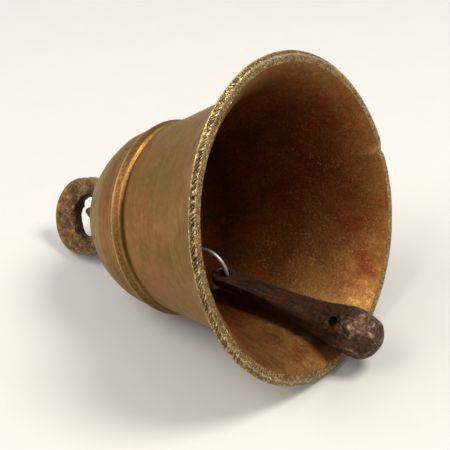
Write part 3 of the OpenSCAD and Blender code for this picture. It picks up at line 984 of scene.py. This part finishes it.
def clapperSections():  # points of the plain bar, and which way each faces (side, over)
    run = 0.5 - 0.5 * np.cos(np.linspace(0.012, math.pi - 0.012, clapper["rings"]))  # closer at both ends
    along = clapper["eyeEnd"] + (clapper["tip"] - clapper["eyeEnd"]) * run
    nose = np.clip(along - clapper["noseStart"], 0, None) / (clapper["tip"] - clapper["noseStart"])
    nose = np.sqrt(np.clip(1 - nose ** 2.6, 0, 1))
    disc = np.sqrt(np.clip(1 - (np.clip(-along, 0, None) / -clapper["eyeEnd"]) ** 2.2, 0, 1))
    blunt = np.sqrt(np.clip(1 - (np.clip(-along - 3.0, 0, None) / (-clapper["eyeEnd"] - 3.0)) ** 2, 0, 1))
    width = through(clapper["width"], along) * nose * disc
    thick = through(clapper["thick"], along) * nose * np.maximum(blunt, 0.05)
    bend = (2 / through(clapper["power"], along))[:, None]
    turn = 2 * math.pi * np.arange(clapper["sides"])[None, :] / clapper["sides"]
    side, over = np.cos(turn), np.sin(turn)
    y = width[:, None] * np.abs(side) ** bend * np.sign(side)
    z = thick[:, None] * np.abs(over) ** bend * np.sign(over)
    points = np.stack([np.broadcast_to(along[:, None], y.shape), y, z], -1).reshape(-1, 3)
    return points, np.tile(side[0], clapper["rings"]), np.tile(over[0], clapper["rings"])


def hammerFacets(p, onKnob):  # flattens the knob in place and gives the edges of the facets
    edges = np.zeros(len(p))
    for way, far in clapper["facets"]:
        n = np.array(way) / np.linalg.norm(way)
        past = (p - np.array((clapper["facetCentre"], 0, 0))) @ n - far + 0.10 * noise.noise(Vector(way) * 9)
        soft = np.logaddexp(0, np.clip(past / clapper["facetSoft"], -40, 40)) * clapper["facetSoft"]
        edges = np.maximum(edges, hump(past, 0, 0.17))
        p -= (np.clip(soft, 0, 1.5) * onKnob)[:, None] * n * clapper["facetDepth"]
    return edges * onKnob


def makeClapper():
    eye, along, over = clapperFrame()
    p, faceSide, faceOver = clapperSections()
    onKnob = smoothStep(p[:, 0], 42, 54)
    edges = hammerFacets(p, onKnob)
    far = p[:, 0]
    dents = rough(p, 9.0, 41.0, 2)
    grain = rough(p * np.array((0.13, 1, 1)), 1.3, 42.0, 3)
    chips = rough(p, 1.9, 43.0, 3)
    cracks = 1 - smoothStep(np.abs(rough(p * np.array((0.30, 1, 1)), 4.6, 45.0, 2)), 0.0, 0.05)
    cracks = cracks * smoothStep(far, 47, 56) * smoothStep(dents, -0.1, 0.3)
    holeAt = clapper["length"] - clapper["cordBack"]
    up = math.radians(clapper["cordUp"])
    holeAxis = np.array((0, -math.cos(up), math.sin(up)))
    fromAxis = p - np.array((holeAt, 0, 0))
    fromAxis = fromAxis - (fromAxis @ holeAxis)[:, None] * holeAxis
    nearHole = hump(np.linalg.norm(fromAxis, axis=1), 0, 2.3, power=4)
    nearEye = hump(np.hypot(far, p[:, 1]), clapper["eyeHole"], 0.55) * (far < 4)
    push = (0.28 * (dents - 0.5) + 0.09 * grain * (1 - 0.5 * onKnob) + 0.20 * (chips - 0.3) * (0.25 + onKnob)
            - 0.35 * cracks - 0.35 * nearHole - 0.25 * nearEye)
    atEye = smoothStep(far, clapper["eyeEnd"], clapper["eyeEnd"] + 1.0)
    atTip = 1 - 0.7 * smoothStep(far, clapper["tip"] - 0.8, clapper["tip"])
    push = np.minimum(push, 0.10) * atEye * atTip
    p[:, 1] += push * faceSide
    p[:, 2] += push * faceOver
    corner = np.abs(faceSide) - np.abs(faceOver)  # 0 along the bar's four corners
    # A bright line along the lower corner near the eye: edge wear with a painted highlight.
    lowEdge = hump(corner, 0, 0.16) * (faceSide < 0) * (faceOver < 0)
    lowEdge = lowEdge * (1 - smoothStep(far, 18, 34)) * smoothStep(far, 2, 6)
    highEdge = hump(corner, 0, 0.13) * (1 - smoothStep(far, 14, 40))
    scuffed = 0.16 * smoothStep(rough(p, 3.2, 46.0, 3), -0.15, 0.5) * smoothStep(far, 55, 64)
    wearAndSheen = unit(lowEdge * (0.75 + 0.8 * grain) + 0.25 * highEdge * (0.5 + grain)
                + edges * (0.15 + 1.4 * chips) + scuffed
                + smoothStep(chips, 0.35, 0.85) * (0.05 + 0.30 * onKnob))
    hollowAndShading = unit(0.8 * cracks + 0.5 * smoothStep(-grain, 0.4, 0.95)
                  + 0.35 * smoothStep(-chips, 0.35, 0.7) * onKnob)
    placed = eye + p[:, :1] * along + p[:, 1:2] * np.array((0, 1.0, 0)) + p[:, 2:] * over
    faces = [list(f) for f in gridFaces(clapper["rings"], clapper["sides"])]
    faces.append(list(range(clapper["sides"]))[::-1])
    faces.append([(clapper["rings"] - 1) * clapper["sides"] + k for k in range(clapper["sides"])])
    piece = makePiece("clapperBody", toRow(placed), faces, [clapperIron], "clapper",
                      "clapper", None, {"wearAndSheen": wearAndSheen, "hollowAndShading": hollowAndShading})
    cutHole(piece, eye, over, clapper["eyeHole"], 16)
    axis = holeAxis[1] * np.array((0, 1.0, 0)) + holeAxis[2] * over
    cutHole(piece, eye + holeAt * along, axis, clapper["cordHole"], 40)
    return piece


makeClapper()
print("clapper ready")


# The stage: pale floor, soft light, camera
stage = {"floorHalf": 3.0, "paper": (0.540, 0.519, 0.487, 1), "grain": (0.506, 0.485, 0.455, 1)}


def makeFloor():
    h = stage["floorHalf"]
    mesh = bpy.data.meshes.new("floor")
    mesh.from_pydata([(-h, -h, 0), (h, -h, 0), (h, h, 0), (-h, h, 0)], [], [(0, 1, 2, 3)])
    floor = bpy.data.objects.new("floor", mesh)
    bpy.context.scene.collection.objects.link(floor)
    material, tree, shader, place = newMaterial("palePaper", 0.0)
    soft = useGroup(tree, patinaPatches, Vector=place, Size=0.02, Spread=0.5, Softness=0.3)
    colour = layOver(tree, stage["paper"], soft, 0.35, stage["grain"])
    feed(tree, shader, colour, rangeNode(tree, soft, 0.0, 1.0, 0.85, 0.95))
    mesh.materials.append(material)


def makeLight(name, place, aim, size, power, colour):
    data = bpy.data.lights.new(name, "AREA")
    data.shape = "DISK"
    data.size = size
    data.energy = power
    data.color = colour
    lamp = bpy.data.objects.new(name, data)
    lamp.location = place
    lamp.rotation_mode = "QUATERNION"
    lamp.rotation_quaternion = (Vector(aim) - Vector(place)).to_track_quat("-Z", "Y")
    bpy.context.scene.collection.objects.link(lamp)


def makeLights():
    world = bpy.data.worlds.new("studio")
    bpy.context.scene.world = world
    world.use_nodes = True
    back = world.node_tree.nodes["Background"]
    back.inputs["Color"].default_value = (0.97, 0.98, 1.0, 1)
    back.inputs["Strength"].default_value = 0.60
    makeLight("key", (0.42, 0.20, 0.85), (0, 0, 0.05), 0.36, 8.2, (1.0, 0.97, 0.93))
    makeLight("fill", (-0.52, -0.72, 0.98), (0, 0, 0.05), 1.1, 16.0, (1.0, 0.98, 0.96))
    bpy.context.scene.view_settings.view_transform = "Standard"


camera = {
    "fromMouth": (0.1697, -0.2784, 0.2217), "azimuth": 36.16, "elevation": 34.55, "roll": -1.33, "lens": 88,
}


def makeCamera():
    az, el, roll = (math.radians(camera[k]) for k in ("azimuth", "elevation", "roll"))
    forward = Vector((-math.sin(az) * math.cos(el), math.cos(az) * math.cos(el), -math.sin(el)))
    level = Vector((math.cos(az), math.sin(az), 0))
    rise = level.cross(forward)
    right = level * math.cos(roll) + rise * math.sin(roll)
    above = right.cross(forward)
    data = bpy.data.cameras.new("view")
    data.lens = camera["lens"]
    data.sensor_width = 36
    data.clip_start = 0.01
    cam = bpy.data.objects.new("view", data)
    turn = Matrix((right, above, -forward)).transposed().to_4x4()
    cam.matrix_world = Matrix.Translation(mouthCentre + Vector(camera["fromMouth"])) @ turn
    bpy.context.scene.collection.objects.link(cam)
    bpy.context.scene.camera = cam


makeFloor()
makeLights()
makeCamera()
print("stage ready")
